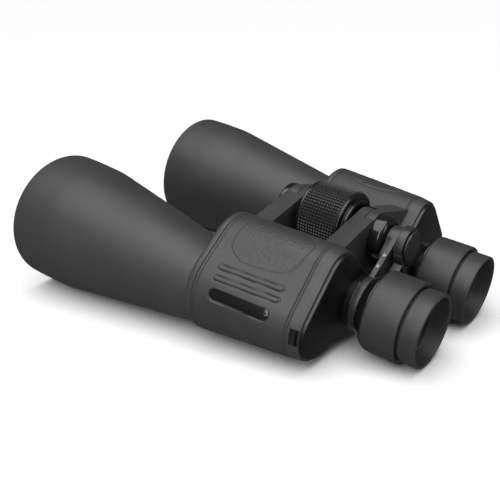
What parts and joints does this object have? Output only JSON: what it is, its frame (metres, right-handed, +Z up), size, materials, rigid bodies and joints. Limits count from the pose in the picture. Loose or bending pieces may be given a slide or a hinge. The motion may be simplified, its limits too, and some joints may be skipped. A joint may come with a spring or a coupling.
{
  "type": "binoculars",
  "caption": "Large Porro-prism binocular with tapered objective tubes, rubber-armoured prism housings, centre focus wheel, centre hinge and wide eyecups.",
  "frame": {"origin": "mouth of the tripod socket, on the hinge axis, in the front face of the hinge cap", "axes": "+Y forward along the optical axes towards the objectives, +X to the right of the user, +Z up; the hinge axis is the Y axis"},
  "size_m": [0.2024, 0.235, 0.0875],
  "materials": {
    "housing": "die cast, painted matte charcoal",
    "armour_rubber": "soft satin, leather grain on the thumb pad",
    "tube_paint": "spun, painted soft-touch matte charcoal",
    "alloy_gloss": "black anodised, polished",
    "gloss_black": "polished black",
    "cover_black": "semi-gloss black",
    "badge_black": "gloss black, blank",
    "eyepiece_black": "satin black",
    "eyepiece_rubber": "satin black",
    "grip_rubber": "square knurl",
    "steel": "bright",
    "alloy_black": "black anodised",
    "optical_glass": "coated",
    "prism_glass": "clear",
    "inner_black": "anti-reflection matte",
    "spring_steel": "spring temper"
  },
  "bodies": {
    "left_half": {"hinge_front_axle": "alloy_gloss", "hinge_rear_bush": "alloy_gloss", "hinge_washers": "inner_black", "left_armour": "armour_rubber", "left_badge": "badge_black", "left_crown_lens": "optical_glass", "left_flint_lens": "optical_glass", "left_front_flange": "housing", "left_guide_tube": "alloy_gloss", "left_housing": "housing", "left_lens_cell": "inner_black", "left_objective_tube": "tube_paint", "left_prism_clips": "spring_steel", "left_prism_front": "prism_glass", "left_prism_rear": "prism_glass", "left_prism_shelf": "inner_black", "left_rear_cover": "cover_black", "left_retaining_ring": "inner_black", "left_strap_bar": "steel"},
    "right_half": {"right_armour": "armour_rubber", "right_badge": "badge_black", "right_crown_lens": "optical_glass", "right_flint_lens": "optical_glass", "right_front_flange": "housing", "right_guide_tube": "alloy_gloss", "right_housing": "housing", "right_lens_cell": "inner_black", "right_objective_tube": "tube_paint", "right_prism_clips": "spring_steel", "right_prism_front": "prism_glass", "right_prism_rear": "prism_glass", "right_prism_shelf": "inner_black", "right_rear_cover": "cover_black", "right_retaining_ring": "inner_black", "right_strap_bar": "steel"},
    "focus_wheel": {"focus_wheel": "gloss_black", "wheel_grip": "grip_rubber"},
    "left_eyepiece": {"left_bridge_arm": "alloy_black", "left_bridge_screws": "steel", "left_eyepiece_tube": "alloy_black", "left_eyepiece_ring": "gloss_black", "left_eyepiece_sleeve": "eyepiece_rubber", "left_eyecup": "eyepiece_rubber", "left_ocular_barrel": "inner_black", "left_eye_lens": "optical_glass", "left_field_lens": "optical_glass", "focus_rod": "steel", "rod_cap": "eyepiece_black", "band_guide": "alloy_black"},
    "right_eyepiece": {"right_bridge_arm": "alloy_black", "right_bridge_screws": "steel", "right_eyepiece_tube": "alloy_black"},
    "right_ocular": {"right_ocular_barrel": "inner_black", "right_eye_lens": "optical_glass", "right_field_lens": "optical_glass"},
    "right_dioptre_ring": {"right_eyepiece_ring": "gloss_black", "right_eyepiece_sleeve": "eyepiece_rubber", "right_eyecup": "eyepiece_rubber"}
  },
  "joints": [
    {"name": "hinge", "type": "hinge", "parent": "left_half", "child": "right_half", "pos_m": [0, 0, 0], "axis": [0, -1, 0], "range_deg": [-1, 46]},
    {"name": "focus_turn", "type": "hinge", "parent": "left_half", "child": "focus_wheel", "pos_m": [0, -0.031, 0], "axis": [0, 1, 0], "range_deg": [0, 480]},
    {"name": "left_focus_slide", "type": "slide", "parent": "left_half", "child": "left_eyepiece", "axis": [0, -1, 0], "range_m": [0, 0.008]},
    {"name": "right_focus_slide", "type": "slide", "parent": "right_half", "child": "right_eyepiece", "axis": [0, -1, 0], "range_m": [0, 0.008]},
    {"name": "dioptre_slide", "type": "slide", "parent": "right_eyepiece", "child": "right_ocular", "axis": [0, -1, 0], "range_m": [-0.0018, 0.0018]},
    {"name": "dioptre_turn", "type": "hinge", "parent": "right_ocular", "child": "right_dioptre_ring", "pos_m": [0.02824, -0.09, -0.0254], "axis": [0, -1, 0], "range_deg": [-90, 90]}
  ],
  "couplings": [
    {"joint": "left_focus_slide", "follows": "focus_turn", "m_per_rad": 0.00095493},
    {"joint": "right_focus_slide", "follows": "focus_turn", "m_per_rad": 0.00095493},
    {"joint": "dioptre_slide", "follows": "dioptre_turn", "m_per_rad": 0.0011459}
  ]
}
